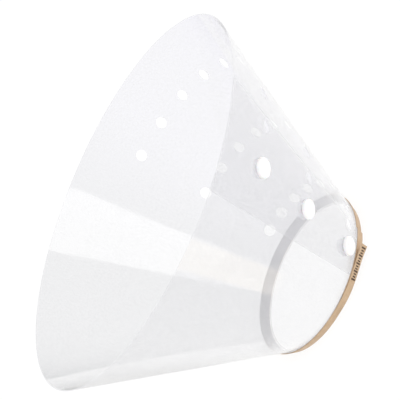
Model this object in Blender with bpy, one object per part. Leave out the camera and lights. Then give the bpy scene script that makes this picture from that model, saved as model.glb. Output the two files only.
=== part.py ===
"""Elizabethan collar: a clear sheet wrapped into a cone, held by three press studs.

Metres, +Z up. The cone stands on its narrow neck edge and opens upwards. Angles are in degrees about +Z.
The sheet is one spiral: its outer end laps over its inner end by LAYER_GAP, and a living hinge line
divides the outer end (the flap, which lifts off the studs) from the wrap.
"""

import math

import bmesh
import bpy
from mathutils import Matrix, Vector

# ---------------------------------------------------------------- driving dimensions

RIM_RADIUS = 0.125
NECK_RADIUS = 0.0516
HEIGHT = 0.1436
SHEET_T = 0.0006
LAYER_GAP = 0.0003
FIT_GAP = 0.0003

STEP_DEG = 3.75
INNER_END_DEG = -79.0
WRAP_STEPS = 92
FLAP_STEPS = 13

HOLE_RADIUS = 0.0041
HOLE_PITCH_DEG = 15.37
STUD_COLUMN_DEG = -64.3
HOLE_COLUMNS = 10
CUTTER_DEPTH = 0.008
FLAP_COLUMNS = 2
ROW_HEIGHTS = {"rim": 0.235, "mid": 0.563, "neck": 0.888}  # share of the height, down from the rim

BAND_T = 0.0006
BAND_BOTTOM = 0.0004
BAND_TOP = 0.0064
LINING_T = 0.0003
LINING_INSET = 0.0003
LINING_RISE = 0.0004  # the lining shows above the band

TAIL_ROOT_DEG = -90.25
TAIL_ARC_STEPS = 3
TAIL_STRAIGHT = 0.0210
TAIL_TOP = 0.0062  # lower than the band, so that the lowest button slides past it

CAP_RADIUS = 0.0063
CAP_EDGE = 0.0005
CAP_DOME = 0.0019
DOME_STEPS = 7
STEM_RADIUS = 0.0027
STEM_DEPTH = 0.0039
BULB_RADIUS = 0.0030
BULB_START = 0.0013  # heights above the stem's tip
BULB_WIDEST = 0.0008
TIP_RADIUS = 0.0024
SOCKET_RADIUS = 0.0063
SOCKET_BORE = 0.0039
SOCKET_CUP = 0.0048
SOCKET_FOOT = 0.0045
SOCKET_FLANGE_T = 0.0009
SOCKET_DEPTH = 0.0033
SOCKET_FLOOR_T = 0.0008
SAGITTA_SHARE = 0.7  # of the neck's sagitta, which clears the wall at every row
TURN_SEGMENTS = 28

PIVOT_SIZE = 0.01
SHARP_DEG = 30
MERGE_DISTANCE = 0.000001

# ---------------------------------------------------------------- derived values

SLOPE = math.atan((RIM_RADIUS - NECK_RADIUS) / HEIGHT)
SPIRAL_PITCH = SHEET_T + LAYER_GAP
SEAM_DEG = INNER_END_DEG + WRAP_STEPS * STEP_DEG
OUTER_END_DEG = SEAM_DEG + FLAP_STEPS * STEP_DEG

LINING_MID = SHEET_T / 2 + FIT_GAP + LINING_T / 2
BAND_MID = LINING_MID + LINING_T / 2 + FIT_GAP + BAND_T / 2
BAND_OUTER = BAND_MID + BAND_T / 2
TAIL_MID = BAND_OUTER + FIT_GAP + BAND_T / 2
HINGE_LIFT = 0.0002  # hinge lines run this far outside the outermost skin
FLAP_HINGE_OFFSET = BAND_OUTER + HINGE_LIFT
TAIL_HINGE_OFFSET = TAIL_MID + BAND_T / 2 + HINGE_LIFT

COLOURS = {
    "sheet": ((0.93, 0.93, 0.97), 0.12, 0.35),
    "stud": ((0.93, 0.93, 0.92), 0.35, 1.0),
    "socket": ((0.94, 0.94, 0.95), 0.30, 0.6),
    "band": ((0.60, 0.43, 0.28), 0.60, 1.0),
    "lining": ((0.62, 0.65, 0.68), 0.85, 1.0),
}


# ---------------------------------------------------------------- the cone's geometry

def spiral(deg):
    """Offset of the sheet's mid-surface from the base cone: one layer outwards per turn."""
    return SPIRAL_PITCH * (deg - INNER_END_DEG) / 360.0


def radial(deg):
    angle = math.radians(deg)
    return Vector((math.cos(angle), math.sin(angle), 0.0))


def tangent(deg):
    angle = math.radians(deg)
    return Vector((-math.sin(angle), math.cos(angle), 0.0))


def normal(deg):
    """Outward normal of the cone: it opens upwards, so it also points down."""
    return radial(deg) * math.cos(SLOPE) - Vector((0.0, 0.0, math.sin(SLOPE)))


def generator(deg):
    """Unit vector up the cone's wall, from the neck to the rim."""
    return radial(deg) * math.sin(SLOPE) + Vector((0.0, 0.0, math.cos(SLOPE)))


def on_cone(deg, z, offset):
    """Point at height z on the surface that lies `offset` outside the base cone."""
    radius = NECK_RADIUS + z * math.tan(SLOPE) + offset / math.cos(SLOPE)
    return radial(deg) * radius + Vector((0.0, 0.0, z))


def hinge_line(deg, offset):
    """Middle of the straight hinge line along the wall at this angle."""
    return on_cone(deg, HEIGHT / 2, spiral(deg) + offset)


# ---------------------------------------------------------------- objects

def material(kind):
    found = bpy.data.materials.get(kind)
    if found:
        return found
    colour, roughness, alpha = COLOURS[kind]
    made = bpy.data.materials.new(kind)
    made.use_nodes = True
    shader = made.node_tree.nodes["Principled BSDF"]
    shader.inputs["Base Color"].default_value = (*colour, 1.0)
    shader.inputs["Roughness"].default_value = roughness
    shader.inputs["Metallic"].default_value = 0.0
    shader.inputs["Alpha"].default_value = alpha
    made.diffuse_color = (*colour, alpha)
    return made


def empty(name, position, parent=None):
    pivot = bpy.data.objects.new(name, None)
    bpy.context.collection.objects.link(pivot)
    pivot.empty_display_size = PIVOT_SIZE
    pivot.parent = parent
    pivot.location = position - (parent.matrix_world.translation if parent else Vector())
    bpy.context.view_layer.update()
    return pivot


def add_object(name, bm, kind, pivot=None):
    """Turn a bmesh in world coordinates into an object whose origin is its pivot."""
    centre = pivot.matrix_world.translation if pivot else Vector()
    bmesh.ops.translate(bm, verts=bm.verts, vec=-centre)
    bmesh.ops.recalc_face_normals(bm, faces=bm.faces)
    mesh = bpy.data.meshes.new(name)
    bm.to_mesh(mesh)
    bm.free()
    mesh.materials.append(material(kind))
    mesh.shade_smooth()
    mesh.set_sharp_from_angle(angle=math.radians(SHARP_DEG))
    made = bpy.data.objects.new(name, mesh)
    bpy.context.collection.objects.link(made)
    made.parent = pivot
    return made


def strip_from_rings(rings):
    """Closed prism through rings of four corners, with both ends capped."""
    bm = bmesh.new()
    loops = [[bm.verts.new(corner) for corner in ring] for ring in rings]
    for near, far in zip(loops, loops[1:]):
        for side in range(4):
            after = (side + 1) % 4
            bm.faces.new((near[side], near[after], far[after], far[side]))
    bm.faces.new(loops[0])
    bm.faces.new(list(reversed(loops[-1])))
    return bm


def ring(deg, offset, thickness, bottom, top, shift=0.0):
    """Four corners of a strip's cross-section at one angle, moved `shift` along the tangent."""
    inner = spiral(deg) + offset - thickness / 2
    outer = inner + thickness
    corners = [(bottom, inner), (bottom, outer), (top, outer), (top, inner)]
    return [on_cone(deg, z, distance) + tangent(deg) * shift for z, distance in corners]


def cone_strip(start, steps, offset, thickness, bottom, top, start_shift=0.0, end_shift=0.0):
    """Part of the spiral wall: every strip has its facets at the same angles, so gaps stay even."""
    rings = []
    for step in range(steps + 1):
        shift = start_shift if step == 0 else end_shift if step == steps else 0.0
        rings.append(ring(start + step * STEP_DEG, offset, thickness, bottom, top, shift))
    return strip_from_rings(rings)


def turned(profile):
    """Solid of revolution about Z from (radius, height) points that start and end on the axis."""
    bm = bmesh.new()
    verts = [bm.verts.new((radius, 0.0, height)) for radius, height in profile]
    edges = [bm.edges.new(pair) for pair in zip(verts, verts[1:])]
    bmesh.ops.spin(bm, geom=verts + edges, cent=(0, 0, 0), axis=(0, 0, 1), angle=math.tau,
                   steps=TURN_SEGMENTS, use_merge=True)
    bmesh.ops.remove_doubles(bm, verts=bm.verts, dist=MERGE_DISTANCE)
    return bm


# ---------------------------------------------------------------- holes and studs

def row_height(share):
    return HEIGHT * (1.0 - share)


def stud_frame(deg, z):
    """Matrix on the inner layer's mid-surface, with +Z along the wall's outward normal."""
    axes = Matrix((tangent(deg), -generator(deg), normal(deg))).transposed()
    return Matrix.Translation(on_cone(deg, z, spiral(deg))) @ axes.to_4x4()


def hole_cutter(name, columns):
    """One pin per hole, long enough for both layers."""
    bm = bmesh.new()
    for column in range(columns):
        for share in ROW_HEIGHTS.values():
            place = stud_frame(STUD_COLUMN_DEG + column * HOLE_PITCH_DEG, row_height(share))
            bmesh.ops.create_cone(bm, cap_ends=True, segments=TURN_SEGMENTS, radius1=HOLE_RADIUS,
                                  radius2=HOLE_RADIUS, depth=CUTTER_DEPTH, matrix=place)
    cutter = add_object(name, bm, "sheet")
    cutter.hide_render = True
    cutter.display_type = "WIRE"
    return cutter


def punch(sheet, columns):
    """Cut the grid of holes into a sheet."""
    cutter = hole_cutter(sheet.name + "_cutter", columns)
    cutter.parent = sheet.parent
    cutter.matrix_world = Matrix.Identity(4)
    cut = sheet.modifiers.new("holes", "BOOLEAN")
    cut.operation = "DIFFERENCE"
    cut.solver = "EXACT"
    cut.object = cutter


def cap_profile():
    """Button: a low dome outside the wall and a bulbed stem through both layers."""
    seat = SPIRAL_PITCH + SHEET_T / 2 + FIT_GAP
    edge = seat + CAP_EDGE
    dome = []
    for i in range(DOME_STEPS + 1):
        angle = math.pi / 2 * i / DOME_STEPS
        dome.append((CAP_RADIUS * math.sin(angle), edge + CAP_DOME * math.cos(angle)))
    tip = seat - STEM_DEPTH
    stem = [
        (CAP_RADIUS - CAP_EDGE / 2, seat),
        (STEM_RADIUS, seat),
        (STEM_RADIUS, tip + BULB_START),
        (BULB_RADIUS, tip + BULB_WIDEST),
        (TIP_RADIUS, tip),
        (0.0, tip),
    ]
    return dome + stem


def socket_profile():
    """Socket: a flanged cup inside the wall that the stem snaps into."""
    sagitta = SOCKET_RADIUS ** 2 / (2 * NECK_RADIUS)  # the wall curves towards the flat flange
    seat = -SHEET_T / 2 - FIT_GAP - SAGITTA_SHARE * sagitta
    return [
        (0.0, seat - SOCKET_DEPTH + SOCKET_FLOOR_T),
        (SOCKET_BORE, seat - SOCKET_DEPTH + SOCKET_FLOOR_T),
        (SOCKET_BORE, seat),
        (SOCKET_RADIUS, seat),
        (SOCKET_RADIUS, seat - SOCKET_FLANGE_T),
        (SOCKET_CUP, seat - SOCKET_FLANGE_T),
        (SOCKET_FOOT, seat - SOCKET_DEPTH),
        (0.0, seat - SOCKET_DEPTH),
    ]


def turned_on_wall(name, kind, profile, place, parent):
    """A turned piece whose own axis, on its origin, is the slide's axis."""
    made = add_object(name, turned(profile), kind)
    made.parent = parent
    made.matrix_world = place
    return made


def studs(flap_pivot):
    for row, share in ROW_HEIGHTS.items():
        place = stud_frame(STUD_COLUMN_DEG, row_height(share))
        turned_on_wall("button_" + row, "stud", cap_profile(), place, flap_pivot)
        turned_on_wall("socket_" + row, "socket", socket_profile(), place, None)


# ---------------------------------------------------------------- sheet, band and tail

def wrap_pieces():
    """The fixed part of the sheet, with its lining and band from the outer end to the seam."""
    half_seam = -FIT_GAP / 2
    bm = cone_strip(INNER_END_DEG, WRAP_STEPS, 0.0, SHEET_T, 0.0, HEIGHT, end_shift=half_seam)
    punch(add_object("sheet_wrap", bm, "sheet"), HOLE_COLUMNS)

    clear_steps = WRAP_STEPS + FLAP_STEPS - round(360 / STEP_DEG) + 1
    start = INNER_END_DEG + clear_steps * STEP_DEG
    steps = WRAP_STEPS - clear_steps
    band_pieces("neck_band", "band_lining", start, steps, 0.0, half_seam, None)


def band_pieces(band_name, lining_name, start, steps, start_shift, end_shift, pivot):
    """The band along the neck edge and the lining between it and the sheet."""
    bottom = BAND_BOTTOM + LINING_INSET
    top = BAND_TOP + LINING_RISE
    lining = cone_strip(start, steps, LINING_MID, LINING_T, bottom, top, start_shift, end_shift)
    add_object(lining_name, lining, "lining", pivot)
    band = cone_strip(start, steps, BAND_MID, BAND_T, BAND_BOTTOM, BAND_TOP, start_shift, end_shift)
    add_object(band_name, band, "band", pivot)


def flap_pieces(pivot):
    """The overlapping end of the sheet, which lifts about the seam, with its own band."""
    half_seam = FIT_GAP / 2
    bm = cone_strip(SEAM_DEG, FLAP_STEPS, 0.0, SHEET_T, 0.0, HEIGHT, start_shift=half_seam)
    punch(add_object("sheet_flap", bm, "sheet", pivot), FLAP_COLUMNS)
    band_pieces("neck_band_end", "band_lining_end", SEAM_DEG, FLAP_STEPS, half_seam, 0.0, pivot)


def tail_piece(pivot):
    """Loose outer end of the band: it follows the neck, then runs straight on along the tangent."""
    rings = []
    for step in range(TAIL_ARC_STEPS + 1):
        deg = TAIL_ROOT_DEG + 360.0 + step * STEP_DEG
        rings.append(ring(deg, TAIL_MID, BAND_T, BAND_BOTTOM, TAIL_TOP))
    rings.append([corner + tangent(deg) * TAIL_STRAIGHT for corner in rings[-1]])
    add_object("band_tail", strip_from_rings(rings), "band", pivot)


def centre_on_floor():
    """Put the middle of the whole object's footprint on the Z axis."""
    bpy.context.view_layer.update()
    corners = []
    for piece in bpy.context.scene.objects:
        if piece.type == "MESH" and not piece.hide_render:
            corners += [piece.matrix_world @ vert.co for vert in piece.data.vertices]
    low = [min(corner[axis] for corner in corners) for axis in range(2)]
    high = [max(corner[axis] for corner in corners) for axis in range(2)]
    move = Vector((-(low[0] + high[0]) / 2, -(low[1] + high[1]) / 2, 0.0))
    for piece in bpy.context.scene.objects:
        if piece.parent is None:
            piece.location += move
    bpy.context.view_layer.update()


def build():
    for old in list(bpy.data.objects):
        bpy.data.objects.remove(old, do_unlink=True)
    flap_pivot = empty("flap_hinge", hinge_line(SEAM_DEG, FLAP_HINGE_OFFSET))
    tail_pivot = empty("tail_hinge", hinge_line(TAIL_ROOT_DEG + 360.0, TAIL_HINGE_OFFSET), flap_pivot)
    wrap_pieces()
    flap_pieces(flap_pivot)
    tail_piece(tail_pivot)
    studs(flap_pivot)
    centre_on_floor()


build()
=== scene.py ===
import math

import bmesh
import bpy
from mathutils import Matrix, Vector


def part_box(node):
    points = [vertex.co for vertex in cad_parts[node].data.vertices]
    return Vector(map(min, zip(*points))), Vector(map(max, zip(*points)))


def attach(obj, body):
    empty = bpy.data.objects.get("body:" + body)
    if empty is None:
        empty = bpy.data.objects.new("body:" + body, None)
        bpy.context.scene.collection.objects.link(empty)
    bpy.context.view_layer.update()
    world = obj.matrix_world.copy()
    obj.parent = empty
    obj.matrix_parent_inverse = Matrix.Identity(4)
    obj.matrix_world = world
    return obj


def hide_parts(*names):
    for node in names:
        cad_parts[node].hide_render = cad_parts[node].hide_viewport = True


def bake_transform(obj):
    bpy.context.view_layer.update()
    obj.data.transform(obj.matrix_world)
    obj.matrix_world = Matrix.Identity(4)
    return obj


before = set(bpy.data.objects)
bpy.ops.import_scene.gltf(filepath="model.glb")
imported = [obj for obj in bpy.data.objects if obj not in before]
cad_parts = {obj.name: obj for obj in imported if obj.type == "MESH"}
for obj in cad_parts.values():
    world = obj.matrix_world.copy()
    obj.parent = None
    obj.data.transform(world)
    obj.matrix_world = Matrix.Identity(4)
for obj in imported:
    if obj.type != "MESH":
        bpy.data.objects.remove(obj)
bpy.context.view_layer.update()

# The looks of a clear elizabethan collar: the film, its studs and the soft band on its neck edge.
# Metres, +Z up, in the CAD frame. Angles are in degrees about the cone's axis.

# ---------------------------------------------------------------- sizes

RIM_RADIUS = 0.125
NECK_RADIUS = 0.0516
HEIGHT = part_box("sheet_wrap")[1].z
AXIS = Vector((0.00025, 0.00025, 0.0))  # the cone's own axis, beside the middle of the footprint
SHEET_T = 0.0006
LAYER_GAP = 0.0003
SPIRAL_PITCH = SHEET_T + LAYER_GAP
SLOPE = math.atan((RIM_RADIUS - NECK_RADIUS) / HEIGHT)

INNER_END_DEG = -79.0
SEAM_DEG = 266.0
OUTER_END_DEG = 314.75
BEND_DEG = 4.0  # the film and band are split into their two pieces this far before the seam

HOLE_RADIUS = 0.0041
HOLE_PITCH_DEG = 15.37
STUD_COLUMN_DEG = -64.3
HOLE_COLUMNS = 10
FLAP_COLUMNS = 2
ROWS = {"rim": 0.235, "mid": 0.563, "neck": 0.888}  # share of the height, down from the rim

BAND_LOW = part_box("neck_band")[0].z
BAND_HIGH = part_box("neck_band")[1].z
TAIL_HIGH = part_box("band_tail")[1].z
LINING_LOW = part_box("band_lining")[0].z
LINING_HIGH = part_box("band_lining")[1].z
BAND_T = 0.0006
LINING_T = 0.0003
TAIL_LIFT = BAND_T + 0.0002
TAIL_ROOT_DEG = 269.75
TAIL_BEND_DEG = 281.0
TAIL_STRAIGHT = 0.0209
TAIL_KICK = 0.0006  # the tail's tip stands this far out from its straight run
TAIL_KICK_START = 0.6  # share of the straight run where the kick begins
CLIMB_DEG = 14.0  # the strap starts to climb this far before the seam

BAND_GAP = 0.00005
LINING_GAP = 0.00003
BAND_CORNER = 0.00028
LINING_CORNER = 0.00012
FREE_END_CLEARANCE_DEG = 1.0
FLAP_END_SETBACK_DEG = 0.6


# ---------------------------------------------------------------- the cone

def spiral(deg):
    return SPIRAL_PITCH * (deg - INNER_END_DEG) / 360.0


def radial(deg):
    return Vector((math.cos(math.radians(deg)), math.sin(math.radians(deg)), 0.0))


def tangent(deg):
    return Vector((-math.sin(math.radians(deg)), math.cos(math.radians(deg)), 0.0))


def wall_normal(deg):
    return radial(deg) * math.cos(SLOPE) - Vector((0.0, 0.0, math.sin(SLOPE)))


def generator(deg):
    return radial(deg) * math.sin(SLOPE) + Vector((0.0, 0.0, math.cos(SLOPE)))


def on_cone(deg, z, offset):
    """Point at height z, `offset` outside the spiral film's middle surface."""
    radius = NECK_RADIUS + z * math.tan(SLOPE) + (spiral(deg) + offset) / math.cos(SLOPE)
    return AXIS + radial(deg) * radius + Vector((0.0, 0.0, z))


def stud_frame(row):
    """Matrix on the inner layer's middle surface with +Z outwards along a stud's axis."""
    deg, z = STUD_COLUMN_DEG, HEIGHT * (1.0 - ROWS[row])
    return hole_frame(deg, z)


def hole_frame(deg, z):
    axes = Matrix((tangent(deg), -generator(deg), wall_normal(deg))).transposed()
    return Matrix.Translation(on_cone(deg, z, 0.0)) @ axes.to_4x4()


def smoothstep(value, low, high):
    t = min(1.0, max(0.0, (value - low) / (high - low)))
    return t * t * (3.0 - 2.0 * t)


# ---------------------------------------------------------------- node materials

class Shade:
    """Short helpers for building one node material."""

    def __init__(self, name):
        self.material = bpy.data.materials.new(name)
        self.material.use_nodes = True
        self.tree = self.material.node_tree
        self.tree.nodes.clear()
        self.out = self.tree.nodes.new("ShaderNodeOutputMaterial")

    def node(self, kind, **settings):
        made = self.tree.nodes.new(kind)
        for key, value in settings.items():
            setattr(made, key, value)
        return made

    def link(self, source, target):
        self.tree.links.new(source, target)

    def math(self, operation, *values):
        made = self.node("ShaderNodeMath", operation=operation)
        for slot, value in enumerate(values):
            if isinstance(value, (int, float)):
                made.inputs[slot].default_value = value
            else:
                self.link(value, made.inputs[slot])
        return made.outputs[0]

    def position(self, stretch=(1.0, 1.0, 1.0)):
        """Object coordinates, which are metres in the row frame, stretched per axis."""
        coords = self.node("ShaderNodeTexCoord")
        mapping = self.node("ShaderNodeMapping")
        mapping.inputs["Scale"].default_value = stretch
        self.link(coords.outputs["Object"], mapping.inputs["Vector"])
        return mapping.outputs["Vector"]

    def noise(self, scale, detail=3.0, roughness=0.5, stretch=(1.0, 1.0, 1.0)):
        made = self.node("ShaderNodeTexNoise")
        made.inputs["Scale"].default_value = scale
        made.inputs["Detail"].default_value = detail
        made.inputs["Roughness"].default_value = roughness
        self.link(self.position(stretch), made.inputs["Vector"])
        return made.outputs["Fac"]

    def spread(self, value, low, high, start=0.3, stop=0.7):
        """Map a noise value to low..high."""
        made = self.node("ShaderNodeMapRange")
        made.inputs["From Min"].default_value = start
        made.inputs["From Max"].default_value = stop
        made.inputs["To Min"].default_value = low
        made.inputs["To Max"].default_value = high
        self.link(value, made.inputs["Value"])
        return made.outputs["Result"]

    def colours(self, value, stops):
        made = self.node("ShaderNodeValToRGB")
        ramp = made.color_ramp
        while len(ramp.elements) < len(stops):
            ramp.elements.new(0.5)
        for element, (place, colour) in zip(ramp.elements, stops):
            element.position = place
            element.color = (*colour, 1.0)
        self.link(value, made.inputs["Fac"])
        return made.outputs["Color"]

    def attribute(self, name):
        made = self.node("ShaderNodeAttribute", attribute_name=name)
        return made.outputs["Fac"]

    def bump(self, height, strength, distance):
        made = self.node("ShaderNodeBump")
        made.inputs["Strength"].default_value = strength
        made.inputs["Distance"].default_value = distance
        self.link(height, made.inputs["Height"])
        return made.outputs["Normal"]

    def principled(self, **values):
        made = self.node("ShaderNodeBsdfPrincipled")
        for key, value in values.items():
            made.inputs[key.replace("_", " ")].default_value = value
        return made

    def mix(self, share, first, second):
        """Mix two shaders; the share is a number or a socket."""
        made = self.node("ShaderNodeMixShader")
        if isinstance(share, float):
            made.inputs["Fac"].default_value = share
        else:
            self.link(share, made.inputs["Fac"])
        self.link(first, made.inputs[1])
        self.link(second, made.inputs[2])
        return made.outputs[0]

    def finish(self, shader):
        self.link(shader, self.out.inputs["Surface"])
        return self.material


FILM_GRAZING_TINT = (0.995, 0.992, 0.988)
HEAD_ON_REFLECTION = 0.05  # Schlick's formula: this much seen head on, all of it at grazing angles
SCHLICK_POWER = 5.0


def film_shader(name, tint, haze_low, haze_high, haze_colour):
    """Clear film: what is behind it, dimmed by the tint, under a sharp reflection and a faint haze."""
    s = Shade(name)
    facing = s.node("ShaderNodeLayerWeight")
    facing.inputs["Blend"].default_value = 0.5
    clear = s.node("ShaderNodeBsdfTransparent")
    depth = s.node("ShaderNodeMix", data_type="RGBA")
    s.link(s.math("POWER", facing.outputs["Facing"], 3.0), depth.inputs["Factor"])
    depth.inputs["A"].default_value = (*tint, 1.0)
    depth.inputs["B"].default_value = (*FILM_GRAZING_TINT, 1.0)
    s.link(depth.outputs["Result"], clear.inputs["Color"])

    ripple = s.noise(11.0, detail=1.0)
    scuffs = s.noise(900.0, detail=2.0, stretch=(1.0, 0.12, 1.0))
    normal = s.bump(ripple, 0.25, 0.0022)

    gloss = s.node("ShaderNodeBsdfGlossy")
    gloss.inputs["Color"].default_value = (1.0, 1.0, 1.0, 1.0)
    s.link(s.spread(s.noise(30.0), 0.03, 0.11), gloss.inputs["Roughness"])
    s.link(normal, gloss.inputs["Normal"])

    grazing = s.math("POWER", facing.outputs["Facing"], SCHLICK_POWER)
    fresnel = s.math("MULTIPLY_ADD", grazing, 1.0 - HEAD_ON_REFLECTION, HEAD_ON_REFLECTION)
    shiny = s.mix(fresnel, clear.outputs[0], gloss.outputs[0])

    milk = s.node("ShaderNodeBsdfTranslucent")
    milk.inputs["Color"].default_value = (*haze_colour, 1.0)
    matt = s.node("ShaderNodeBsdfDiffuse")
    matt.inputs["Color"].default_value = (*haze_colour, 1.0)
    cloud = s.mix(0.5, milk.outputs[0], matt.outputs[0])

    streaks = s.math("MULTIPLY", s.noise(24.0, detail=4.0), scuffs)
    haze = s.spread(streaks, haze_low, haze_high, 0.1, 0.4)
    return s.finish(s.mix(haze, shiny, cloud))


def vinyl_shader():
    """Soft beige vinyl: fine grain, uneven tone, paler rubbed edges."""
    s = Shade("band_vinyl")
    shader = s.principled(Metallic=0.0, IOR=1.48, Specular_IOR_Level=0.35, Coat_Weight=0.05,
                          Coat_Roughness=0.35, Sheen_Weight=0.12, Sheen_Roughness=0.5)
    tone = s.colours(s.noise(55.0, detail=5.0, roughness=0.6), [
        (0.30, (0.42, 0.275, 0.150)),
        (0.52, (0.545, 0.37, 0.215)),
        (0.75, (0.63, 0.445, 0.28)),
    ])
    rubbed = s.node("ShaderNodeMix", data_type="RGBA")
    edge = s.spread(s.attribute("across"), 0.0, 0.5, 0.78, 1.0)
    worn = s.math("MULTIPLY", edge, s.spread(s.noise(260.0), 0.3, 1.0))
    s.link(worn, rubbed.inputs["Factor"])
    s.link(tone, rubbed.inputs["A"])
    rubbed.inputs["B"].default_value = (0.74, 0.58, 0.42, 1.0)
    s.link(rubbed.outputs["Result"], shader.inputs["Base Color"])
    s.link(s.spread(s.noise(420.0), 0.48, 0.66), shader.inputs["Roughness"])
    grain = s.node("ShaderNodeTexVoronoi", feature="DISTANCE_TO_EDGE")
    grain.inputs["Scale"].default_value = 2400.0
    s.link(s.position(), grain.inputs["Vector"])
    s.link(s.bump(grain.outputs["Distance"], 0.35, 0.00012), shader.inputs["Normal"])
    return s.finish(shader.outputs[0])


def felt_shader():
    """Thin grey felt backing with short matted fibres."""
    s = Shade("lining_felt")
    shader = s.principled(Metallic=0.0, Roughness=0.92, Sheen_Weight=0.35, Sheen_Roughness=0.6)
    tone = s.colours(s.noise(130.0, detail=6.0, roughness=0.7), [
        (0.30, (0.70, 0.70, 0.71)),
        (0.50, (0.78, 0.775, 0.78)),
        (0.72, (0.85, 0.84, 0.84)),
    ])
    s.link(tone, shader.inputs["Base Color"])
    fibres = s.noise(2600.0, detail=3.0, roughness=0.7, stretch=(1.0, 1.0, 0.35))
    s.link(s.bump(fibres, 0.6, 0.0002), shader.inputs["Normal"])
    return s.finish(shader.outputs[0])


def moulded_shader():
    """White moulded plastic with a faint flow pattern and slightly uneven gloss."""
    s = Shade("stud_white")
    shader = s.principled(Metallic=0.0, IOR=1.49, Subsurface_Weight=0.12, Subsurface_Scale=0.0015)
    tone = s.colours(s.noise(180.0, detail=4.0), [
        (0.30, (0.93, 0.93, 0.93)),
        (0.65, (0.985, 0.985, 0.985)),
    ])
    s.link(tone, shader.inputs["Base Color"])
    s.link(s.spread(s.noise(600.0), 0.24, 0.4), shader.inputs["Roughness"])
    s.link(s.bump(s.noise(1500.0, detail=2.0), 0.12, 0.00008), shader.inputs["Normal"])
    return s.finish(shader.outputs[0])


def milky_shader():
    """Natural unpigmented plastic: milky, and it lets light through; a faint white emission paints a glow
    on it, though it is no lamp.
    """
    s = Shade("socket_milky_glowing")
    clear = s.node("ShaderNodeBsdfTransparent")
    clear.inputs["Color"].default_value = (0.98, 0.98, 0.99, 1.0)
    # painted glow: a faint white emission makes the socket shine brighter than its lighting, though it is
    # no lamp
    body = s.principled(Metallic=0.0, IOR=1.5, Emission_Strength=0.3)
    body.inputs["Emission Color"].default_value = (1.0, 1.0, 1.0, 1.0)
    tone = s.colours(s.noise(220.0, detail=4.0), [
        (0.3, (0.93, 0.93, 0.94)),
        (0.7, (0.98, 0.98, 0.98)),
    ])
    s.link(tone, body.inputs["Base Color"])
    s.link(s.spread(s.noise(500.0), 0.2, 0.4), body.inputs["Roughness"])
    glow = s.node("ShaderNodeBsdfTranslucent")
    s.link(tone, glow.inputs["Color"])
    lit = s.mix(0.6, body.outputs[0], glow.outputs[0])
    cloudiness = s.spread(s.noise(90.0), 0.62, 0.78)
    return s.finish(s.mix(cloudiness, clear.outputs[0], lit))


def ink_shader():
    """Dark brown print, worn through in places."""
    s = Shade("print_ink")
    shader = s.principled(Metallic=0.0, Specular_IOR_Level=0.3)
    tone = s.colours(s.noise(1400.0, detail=4.0), [
        (0.35, (0.030, 0.016, 0.010)),
        (0.70, (0.10, 0.055, 0.032)),
    ])
    s.link(tone, shader.inputs["Base Color"])
    s.link(s.spread(s.noise(900.0), 0.45, 0.7), shader.inputs["Roughness"])
    return s.finish(shader.outputs[0])


FILM = film_shader("clear_film", (0.956, 0.956, 0.960), 0.03, 0.07, (0.95, 0.95, 0.96))
FILM_EDGE = film_shader("film_cut_edge", (0.97, 0.97, 0.98), 0.45, 0.75, (0.97, 0.97, 0.98))
VINYL = vinyl_shader()
FELT = felt_shader()
WHITE = moulded_shader()
MILKY_GLOWING = milky_shader()
INK = ink_shader()


# ---------------------------------------------------------------- mesh helpers

def new_piece(name, bm, materials, smooth_deg=40):
    mesh = bpy.data.meshes.new(name)
    bmesh.ops.recalc_face_normals(bm, faces=bm.faces)
    bm.to_mesh(mesh)
    bm.free()
    for material in materials:
        mesh.materials.append(material)
    mesh.shade_smooth()
    mesh.set_sharp_from_angle(angle=math.radians(smooth_deg))
    piece = bpy.data.objects.new(name, mesh)
    bpy.context.collection.objects.link(piece)
    return piece


def sweep(bm, rings, close_start, close_end):
    """Skin a closed profile along its rings; an end that meets another piece stays open."""
    loops = [[bm.verts.new(point) for point in ring] for ring in rings]
    count = len(loops[0])
    for near, far in zip(loops, loops[1:]):
        for i in range(count):
            j = (i + 1) % count
            bm.faces.new((near[i], near[j], far[j], far[i]))
    if close_start:
        bm.faces.new(loops[0])
    if close_end:
        bm.faces.new(list(reversed(loops[-1])))
    return loops


def steps_between(start, stop, size):
    count = max(1, round((stop - start) / size))
    return [start + (stop - start) * i / count for i in range(count + 1)]


def apply_modifiers(piece):
    depsgraph = bpy.context.evaluated_depsgraph_get()
    mesh = bpy.data.meshes.new_from_object(piece.evaluated_get(depsgraph))
    piece.modifiers.clear()
    piece.data = mesh


# ---------------------------------------------------------------- the film

FILM_STEP_DEG = 1.25
FILM_ROWS = 12


def film_ring(deg):
    """Closed loop round the film's cross-section at one angle: up the inside, down the outside."""
    heights = [HEIGHT * i / FILM_ROWS for i in range(FILM_ROWS + 1)]
    inside = [on_cone(deg, z, -SHEET_T / 2) for z in heights]
    outside = [on_cone(deg, z, SHEET_T / 2) for z in reversed(heights)]
    return inside + outside


def film_piece(name, start, stop, columns, open_end_deg):
    """A length of the film, punched, with its faces at open_end_deg left out."""
    bm = bmesh.new()
    rings = [film_ring(deg) for deg in steps_between(start, stop, FILM_STEP_DEG)]
    sweep(bm, rings, True, True)
    piece = new_piece(name, bm, [FILM, FILM_EDGE])

    cutter_bm = bmesh.new()
    for column in range(columns):
        for share in ROWS.values():
            place = hole_frame(STUD_COLUMN_DEG + column * HOLE_PITCH_DEG, HEIGHT * (1.0 - share))
            bmesh.ops.create_cone(cutter_bm, cap_ends=True, segments=48, radius1=HOLE_RADIUS,
                                  radius2=HOLE_RADIUS, depth=10 * SHEET_T, matrix=place)
    cutter = new_piece(name + "_punch", cutter_bm, [FILM])
    cut = piece.modifiers.new("holes", "BOOLEAN")
    cut.operation = "DIFFERENCE"
    cut.solver = "EXACT"
    cut.object = cutter
    apply_modifiers(piece)
    bpy.data.objects.remove(cutter)

    open_end(piece, open_end_deg)
    film_normals(piece)
    return piece


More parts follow.
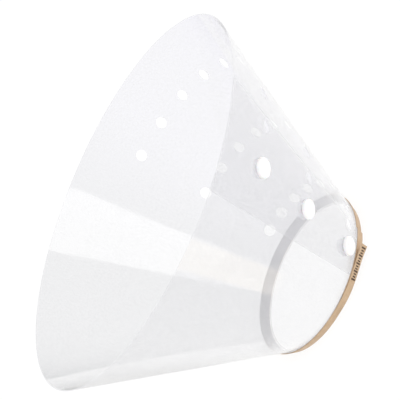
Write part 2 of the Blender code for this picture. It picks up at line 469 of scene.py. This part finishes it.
def open_end(piece, deg):
    """Remove the end faces that lie in the generator plane at this angle."""
    bm = bmesh.new()
    bm.from_mesh(piece.data)
    along = tangent(deg)
    gone = []
    for face in bm.faces:
        middle = face.calc_center_median() - AXIS
        near = abs(middle.dot(along)) < 0.0002 and middle.dot(radial(deg)) > 0
        if near and abs(face.normal.dot(along)) > 0.9:
            gone.append(face)
    bmesh.ops.delete(bm, geom=gone, context="FACES")
    bm.to_mesh(piece.data)
    bm.free()


def film_normals(piece):
    """Walls take the cone's exact normal, so reflections run true; cut edges get their own finish."""
    mesh = piece.data
    normals = [None] * len(mesh.loops)
    for face in mesh.polygons:
        middle = face.center - AXIS
        outward = wall_normal(math.degrees(math.atan2(middle.y, middle.x)))
        side = face.normal.dot(outward)
        face.use_smooth = True
        face.material_index = 0 if abs(side) > 0.7 else 1
        for loop in face.loop_indices:
            if abs(side) > 0.7:
                point = mesh.vertices[mesh.loops[loop].vertex_index].co - AXIS
                exact = wall_normal(math.degrees(math.atan2(point.y, point.x)))
                normals[loop] = exact * math.copysign(1.0, side)
            else:
                normals[loop] = face.normal.copy()
    mesh.normals_split_custom_set(normals)


def build_film():
    join_deg = SEAM_DEG - BEND_DEG
    wrap = film_piece("film_wrap", INNER_END_DEG, join_deg, HOLE_COLUMNS, join_deg)
    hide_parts("sheet_wrap")
    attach(wrap, "wrap")

    flap = film_piece("film_flap", join_deg, OUTER_END_DEG, FLAP_COLUMNS, join_deg)
    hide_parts("sheet_flap")
    bend(flap)


def bend(piece):
    """Bake the piece's placing into its mesh; it is not blended between bodies."""
    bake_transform(piece)


# ---------------------------------------------------------------- band, tail and lining

STRIP_STEP_DEG = 1.25


def rounded_profile(low, high, inner, outer, corner, arc_steps=4):
    """Corner-rounded rectangle as (z, offset) points."""
    points = []
    centres = [
        (high - corner, outer - corner, 0.0),
        (low + corner, outer - corner, 90.0),
        (low + corner, inner + corner, 180.0),
        (high - corner, inner + corner, 270.0),
    ]
    for z, offset, start in centres:
        for i in range(arc_steps + 1):
            angle = math.radians(start + 90.0 * i / arc_steps)
            points.append((z + corner * math.cos(angle), offset + corner * math.sin(angle)))
    return points


def strap_place(deg, z, offset):
    """Past the tail's bend the strap runs straight on along the tangent."""
    if deg <= TAIL_BEND_DEG:
        return on_cone(deg, z, offset)
    run = math.radians(deg - TAIL_BEND_DEG) * (NECK_RADIUS + TAIL_LIFT)
    kick = TAIL_KICK * smoothstep(run, TAIL_STRAIGHT * TAIL_KICK_START, TAIL_STRAIGHT)
    start = on_cone(TAIL_BEND_DEG, z, offset)
    return start + tangent(TAIL_BEND_DEG) * run + wall_normal(TAIL_BEND_DEG) * kick


TAIL_END_DEG = TAIL_BEND_DEG + math.degrees(TAIL_STRAIGHT / (NECK_RADIUS + TAIL_LIFT))


def strap_lift(deg):
    """The strap climbs from the lining onto the band's other end where the two ends overlap."""
    return TAIL_LIFT * smoothstep(deg, SEAM_DEG - CLIMB_DEG, TAIL_ROOT_DEG)


def strip_piece(name, spans, low, high, thickness, base, corner, material):
    """One or more swept strips in one piece. Each span is (start, stop, close_start, close_end, climbs)."""
    bm = bmesh.new()
    across = bm.verts.layers.float.new("across")
    half = (high - low) / 2
    for start, stop, close_start, close_end, climbs in spans:
        rings = []
        for deg in steps_between(start, stop, STRIP_STEP_DEG):
            rise = base + (strap_lift(deg) if climbs else 0.0)
            profile = rounded_profile(low, high, rise, rise + thickness, corner)
            place = strap_place if climbs else on_cone
            rings.append([place(deg, z, offset) for z, offset in profile])
        loops = sweep(bm, rings, close_start, close_end)
        for ring in loops:
            for vert, (z, offset) in zip(ring, profile):
                vert[across] = abs(z - low - half) / half
    return new_piece(name, bm, [material], smooth_deg=50)


def build_band():
    join_deg = SEAM_DEG - BEND_DEG
    free_deg = OUTER_END_DEG - 360.0 + FREE_END_CLEARANCE_DEG  # just past the film's outer end
    end_deg = OUTER_END_DEG - FLAP_END_SETBACK_DEG
    band_base = SHEET_T / 2 + LINING_T + BAND_GAP
    lining_base = SHEET_T / 2 + LINING_GAP

    strap = strip_piece("strap", [(free_deg, join_deg, True, False, True)], BAND_LOW, BAND_HIGH,
                        BAND_T, band_base, BAND_CORNER, VINYL)
    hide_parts("neck_band")
    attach(strap, "wrap")

    felt = strip_piece("felt", [(free_deg, join_deg, True, False, False)], LINING_LOW, LINING_HIGH,
                       LINING_T, lining_base, LINING_CORNER, FELT)
    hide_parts("band_lining")
    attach(felt, "wrap")

    end_spans = [(join_deg, TAIL_ROOT_DEG, False, False, True),
                 (SEAM_DEG + 1.0, end_deg, True, True, False)]
    strap_end = strip_piece("strap_end", end_spans, BAND_LOW, BAND_HIGH, BAND_T, band_base,
                            BAND_CORNER, VINYL)
    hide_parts("neck_band_end")
    bend(strap_end)

    felt_end = strip_piece("felt_end", [(join_deg, end_deg, False, True, False)],
                           LINING_LOW, LINING_HIGH, LINING_T, lining_base, LINING_CORNER, FELT)
    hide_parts("band_lining_end")
    bend(felt_end)

    tail = strip_piece("strap_tail", [(TAIL_ROOT_DEG, TAIL_END_DEG, False, True, True)], BAND_LOW,
                       TAIL_HIGH, BAND_T, band_base, BAND_CORNER, VINYL)
    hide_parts("band_tail")
    bend(tail)

    marks = size_marks(band_base + TAIL_LIFT + BAND_T)
    bend(marks)


MARK_COUNT = 13
MARK_PITCH_DEG = 1.9
MARK_START_DEG = TAIL_ROOT_DEG + 8.4
MARK_INK = 0.00003
TALL_MARK = (0.0020, 1.1)  # half height in metres, width in degrees
SHORT_MARK = (0.0013, 0.9)


def size_marks(offset):
    """A plain printed gauge on the tail: a row of short bars, every third one taller."""
    bm = bmesh.new()
    middle = (BAND_LOW + TAIL_HIGH) / 2
    for i in range(MARK_COUNT):
        deg = MARK_START_DEG + i * MARK_PITCH_DEG
        half, width_deg = TALL_MARK if i % 3 == 0 else SHORT_MARK
        rings = []
        for edge_deg in (deg, deg + width_deg / 2, deg + width_deg):
            corners = [(middle - half, offset), (middle - half, offset + MARK_INK),
                       (middle + half, offset + MARK_INK), (middle + half, offset)]
            rings.append([strap_place(edge_deg, z, out) for z, out in corners])
        sweep(bm, rings, True, True)
    return new_piece("size_marks", bm, [INK])


# ---------------------------------------------------------------- studs

LATHE_STEPS = 64


def lathe(profile):
    bm = bmesh.new()
    verts = [bm.verts.new((radius, 0.0, height)) for radius, height in profile]
    edges = [bm.edges.new(pair) for pair in zip(verts, verts[1:])]
    bmesh.ops.spin(bm, geom=verts + edges, cent=(0, 0, 0), axis=(0, 0, 1), angle=math.tau,
                   steps=LATHE_STEPS, use_merge=True)
    bmesh.ops.remove_doubles(bm, verts=bm.verts, dist=0.000001)
    return bm


def arc(radius, height, size_r, size_z, start, stop, steps):
    """Part of an ellipse in the profile plane, from start to stop in degrees."""
    points = []
    for i in range(steps + 1):
        angle = math.radians(start + (stop - start) * i / steps)
        points.append((radius + size_r * math.cos(angle), height + size_z * math.sin(angle)))
    return points


def button_profile():
    """Cap with a shallow dished top and a rolled edge, over a stem with a snap bulb."""
    seat = SPIRAL_PITCH + SHEET_T / 2 + 0.00012
    cap = 0.0063
    top = seat + 0.0024
    shoulder_r, shoulder_z = 0.0014, 0.0012
    lip_size = 0.0005
    dish = [(0.0, top - 0.00035), (0.0018, top - 0.00032), (0.0031, top - 0.00020),
            (0.0042, top - 0.00004)]
    crown = arc(cap - shoulder_r, seat + shoulder_z, shoulder_r, shoulder_z, 84.0, 0.0, 9)
    lip = arc(cap - lip_size, seat + lip_size, lip_size, lip_size, 0.0, -90.0, 4)
    tip = seat - 0.0037
    stem = [(0.0027, seat), (0.0027, tip + 0.0014), (0.0030, tip + 0.0010), (0.0029, tip + 0.0006),
            (0.0022, tip), (0.0, tip)]
    return dish + crown + lip + stem


def socket_profile():
    """Flanged cup with rounded rims that the stem snaps into."""
    seat = -SHEET_T / 2 - 0.0006
    bore, flange, cup, depth = 0.0039, 0.0063, 0.0048, 0.0033
    floor = seat - depth + 0.0008
    rim_size, edge_size, foot_size = 0.0003, 0.00045, 0.0005
    rim = arc(bore + rim_size, seat - rim_size, rim_size, rim_size, 180.0, 90.0, 3)
    edge = arc(flange - edge_size, seat - edge_size, edge_size, edge_size, 90.0, -90.0, 6)
    foot = arc(cup - foot_size, seat - depth + foot_size, foot_size, foot_size, 0.0, -90.0, 4)
    inside = [(0.0, floor), (bore, floor)]
    return inside + rim + edge + [(cup, seat - 0.0009)] + foot + [(0.0, seat - depth)]


def build_studs():
    for row in ROWS:
        kinds = (("button", button_profile(), WHITE, "stud"),
                 ("socket", socket_profile(), MILKY_GLOWING, "socket"))
        for kind, profile, material, slot in kinds:
            bm = lathe(profile)
            bmesh.ops.transform(bm, matrix=stud_frame(row), verts=bm.verts)
            piece = new_piece(f"{kind}_{row}_moulded", bm, [material], smooth_deg=35)
            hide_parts(f"{kind}_{row}")
            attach(piece, f"{kind}_{row}")


# ---------------------------------------------------------------- stage, light and camera

FLOOR_HALF_SIZE = 8.0
FLOOR_DROP = 0.0006  # below the neck edge that the collar stands on
FLOOR_LEVEL = 0.86  # emission, so that the floor reads as white paper
# painted shade: how far the floor's emission drops in its darker back-left corner, seen only in reflections
PAINTED_SHADE_DEPTH = 0.16
# painted warm glow: strength, edges and reach of a wedge in the floor's emission, seen only in reflections
PAINTED_GLOW_GAIN = 0.55
GLOW_RISE_DEG = (-113.5, -111.0)
GLOW_FALL_DEG = (-96.0, -93.5)
GLOW_REACH = (0.092, 0.102)  # the glow starts this far from the row frame's origin


def build_floor():
    """White floor. Its darker corner and warm wedge are painted shade and a painted warm glow in its
    emission, and they reach glossy rays only, as painted reflections.
    """
    bm = bmesh.new()
    bmesh.ops.create_grid(bm, x_segments=2, y_segments=2, size=FLOOR_HALF_SIZE)
    s = Shade("floor_pale")
    shader = s.principled(Roughness=0.9, Specular_IOR_Level=0.0)
    tone = s.colours(s.noise(3.0, detail=2.0), [
        (0.3, (0.175, 0.175, 0.175)),
        (0.7, (0.185, 0.185, 0.185)),
    ])
    s.link(tone, shader.inputs["Base Color"])
    place = s.node("ShaderNodeSeparateXYZ")
    s.link(s.position(), place.inputs[0])
    x, y = place.outputs["X"], place.outputs["Y"]
    seen = s.node("ShaderNodeLightPath").outputs["Is Glossy Ray"]

    # painted shade: the floor's emission is turned down in a corner behind and left of the collar, for
    # glossy rays only
    behind = s.spread(y, 0.0, 1.0, 0.0, 0.08)
    left = s.spread(x, 1.0, 0.0, -0.09, -0.04)
    corner = s.math("MULTIPLY", behind, left)
    painted_shade = s.math("MULTIPLY", s.math("MULTIPLY", corner, seen), PAINTED_SHADE_DEPTH)

    # painted reflection: a warm glowing wedge in the floor's emission, for glossy rays only
    turn = s.math("ARCTAN2", y, x)
    rise = s.spread(turn, 0.0, 1.0, *map(math.radians, GLOW_RISE_DEG))
    fall = s.spread(turn, 1.0, 0.0, *map(math.radians, GLOW_FALL_DEG))
    reach = s.math("ADD", s.math("MULTIPLY", x, x), s.math("MULTIPLY", y, y))
    far_enough = s.spread(reach, 0.0, 1.0, *(radius ** 2 for radius in GLOW_REACH))
    glow = s.math("MULTIPLY", s.math("MULTIPLY", rise, fall), far_enough)
    glow = s.math("MULTIPLY", glow, seen)

    level = s.math("SUBTRACT", s.math("MULTIPLY_ADD", glow, PAINTED_GLOW_GAIN, FLOOR_LEVEL), painted_shade)
    s.link(level, shader.inputs["Emission Strength"])
    painted_glow_colour = s.colours(glow, [(0.0, (1.0, 1.0, 1.0)), (1.0, (1.0, 0.90, 0.72))])
    s.link(painted_glow_colour, shader.inputs["Emission Color"])
    floor = new_piece("floor", bm, [s.finish(shader.outputs[0])])
    floor.location.z = -FLOOR_DROP


WHITE_STRENGTH = 0.95
ROOM_COLOURS = [(0.15, (0.80, 0.78, 1.00)), (0.72, (0.06, 0.08, 0.10))]


def build_world():
    """Even white light for everything, with a greyer room in the reflections."""
    world = bpy.data.worlds.new("studio")
    bpy.context.scene.world = world
    world.use_nodes = True
    tree = world.node_tree
    tree.nodes.clear()
    out = tree.nodes.new("ShaderNodeOutputWorld")
    path = tree.nodes.new("ShaderNodeLightPath")
    white = tree.nodes.new("ShaderNodeBackground")
    white.inputs["Color"].default_value = (1.0, 1.0, 1.0, 1.0)
    white.inputs["Strength"].default_value = WHITE_STRENGTH
    room = tree.nodes.new("ShaderNodeBackground")
    room.inputs["Strength"].default_value = 1.0
    coords = tree.nodes.new("ShaderNodeTexCoord")
    split = tree.nodes.new("ShaderNodeSeparateXYZ")
    side = tree.nodes.new("ShaderNodeMapRange")
    side.inputs["From Min"].default_value = -1.0
    ramp = tree.nodes.new("ShaderNodeValToRGB")
    for element, (place, colour) in zip(ramp.color_ramp.elements, ROOM_COLOURS):
        element.position = place
        element.color = (*colour, 1.0)
    tree.links.new(coords.outputs["Generated"], split.inputs[0])
    tree.links.new(split.outputs["X"], side.inputs["Value"])
    tree.links.new(side.outputs["Result"], ramp.inputs["Fac"])
    tree.links.new(ramp.outputs["Color"], room.inputs["Color"])
    mix = tree.nodes.new("ShaderNodeMixShader")
    tree.links.new(path.outputs["Is Glossy Ray"], mix.inputs["Fac"])
    tree.links.new(white.outputs[0], mix.inputs[1])
    tree.links.new(room.outputs[0], mix.inputs[2])
    tree.links.new(mix.outputs[0], out.inputs["Surface"])


PANEL_COLOUR = (1.0, 0.985, 0.96)


def soft_box(name, azimuth, elevation, distance, width, height, radiance, target):
    """Rectangular soft light; azimuth is measured from -Y towards +X."""
    az, el = math.radians(azimuth), math.radians(elevation)
    direction = Vector((math.sin(az) * math.cos(el), -math.cos(az) * math.cos(el), math.sin(el)))
    light = bpy.data.lights.new(name, "AREA")
    light.shape = "RECTANGLE"
    light.size = width
    light.size_y = height
    light.energy = radiance * math.pi * width * height
    light.color = PANEL_COLOUR
    lamp = bpy.data.objects.new(name, light)
    bpy.context.collection.objects.link(lamp)
    lamp.location = target + direction * distance
    lamp.rotation_euler = direction.to_track_quat("Z", "Y").to_euler()


def build_camera():
    elevation, roll, distance = 21.87, -66.97, 0.8368
    target = Vector((0.0171, 0.0003, 0.0971))
    camera = bpy.data.cameras.new("camera")
    camera.lens = 117.57
    camera.sensor_width = 36.0
    camera.clip_end = 30.0
    seat = bpy.data.objects.new("camera", camera)
    bpy.context.collection.objects.link(seat)
    el = math.radians(elevation)
    back = Vector((0.0, -math.cos(el), math.sin(el)))
    seat.location = target + back * distance
    upright = back.to_track_quat("Z", "Y")
    rolled = upright.to_matrix() @ Matrix.Rotation(math.radians(roll), 3, "Z")
    seat.rotation_euler = rolled.to_euler()
    bpy.context.scene.camera = seat


def build_stage():
    build_floor()
    build_world()
    middle = Vector((0.0, 0.0, 0.07))
    soft_box("panel_right", azimuth=33.0, elevation=29.0, distance=1.7, width=1.12, height=0.9,
             radiance=1.25, target=middle)
    build_camera()
    bpy.context.scene.view_settings.view_transform = "Standard"
    bpy.context.scene.cycles.transparent_max_bounces = 24


build_film()
build_band()
build_studs()
build_stage()
